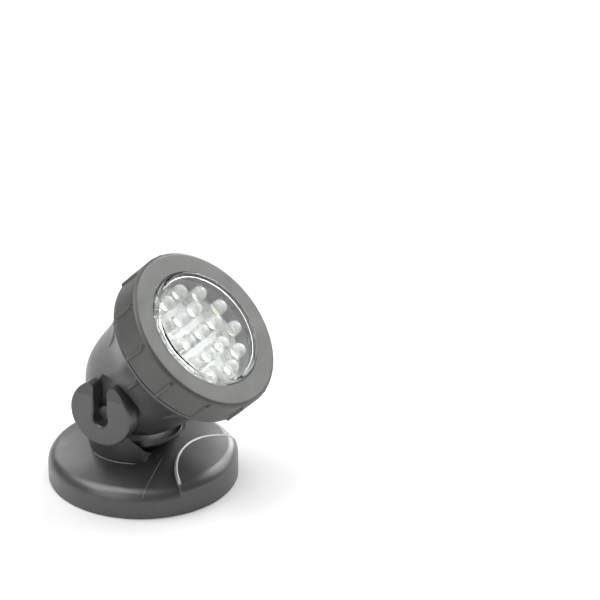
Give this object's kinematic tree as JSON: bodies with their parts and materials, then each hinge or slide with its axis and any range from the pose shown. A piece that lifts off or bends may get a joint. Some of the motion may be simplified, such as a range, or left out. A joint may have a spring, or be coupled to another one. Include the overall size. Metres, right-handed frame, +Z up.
{
  "type": "underwater pond light",
  "caption": "Small LED pond spotlight: round weighted base with slotted ears, tilting bell-shaped head, ribbed bezel ring and clear cover over clear LEDs",
  "frame": {"origin": "Middle of the round base on the surface that the light stands on, in the middle of the rubber pad's underside", "axes": "+Z is up, the lamp head faces -Y and, at rest, 45 degrees upward; the tilt axis is parallel to X"},
  "size_m": [0.064, 0.077, 0.0806],
  "materials": {
    "black_plastic": "black injection-moulded plastic, satin with a fine texture",
    "clear_plastic": "clear polished polycarbonate",
    "led_epoxy": "water-clear epoxy lamp bodies",
    "phosphor": "yellow phosphor in the reflector cups",
    "lead_metal": "tinned steel leadframes",
    "board_white": "white solder mask on a glass-fibre board",
    "component_black": "moulded component bodies",
    "terminal_green": "moulded terminal block",
    "resin_grey": "cast potting resin",
    "black_rubber": "soft black rubber",
    "ballast_iron": "raw cast iron disc",
    "screw_steel": "stainless countersunk screws"
  },
  "bodies": {
    "base": {"base_shell": "black_plastic", "base_plate": "black_plastic", "plate_screws": "screw_steel", "ballast_weight": "ballast_iron", "rubber_pad": "black_rubber"},
    "head": {"head_housing": "black_plastic", "lens_cover": "clear_plastic", "gland_body": "black_plastic", "led_centre": "led_epoxy", "leds_inner": "led_epoxy", "leds_outer": "led_epoxy", "led_leadframes": "lead_metal", "led_chips": "phosphor", "led_board": "board_white", "resistors": "component_black", "rectifier": "component_black", "capacitor": "component_black", "terminal_block": "terminal_green", "potting_resin": "resin_grey", "lens_gasket": "black_rubber", "gland_locknut": "black_plastic", "inlet_seal": "black_rubber"},
    "bezel": {"bezel_ring": "black_plastic"}
  },
  "joints": [
    {"name": "head_tilt", "type": "hinge", "parent": "base", "child": "head", "pos_m": [0, 0.0014, 0.0314], "axis": [-1, 0, 0], "range_deg": [-15, 45]},
    {"name": "bezel_turn", "type": "hinge", "parent": "head", "child": "bezel", "pos_m": [0, -0.02525, 0.06085], "axis": [0, -0.7071, 0.7071], "range_deg": [0, 45]}
  ]
}
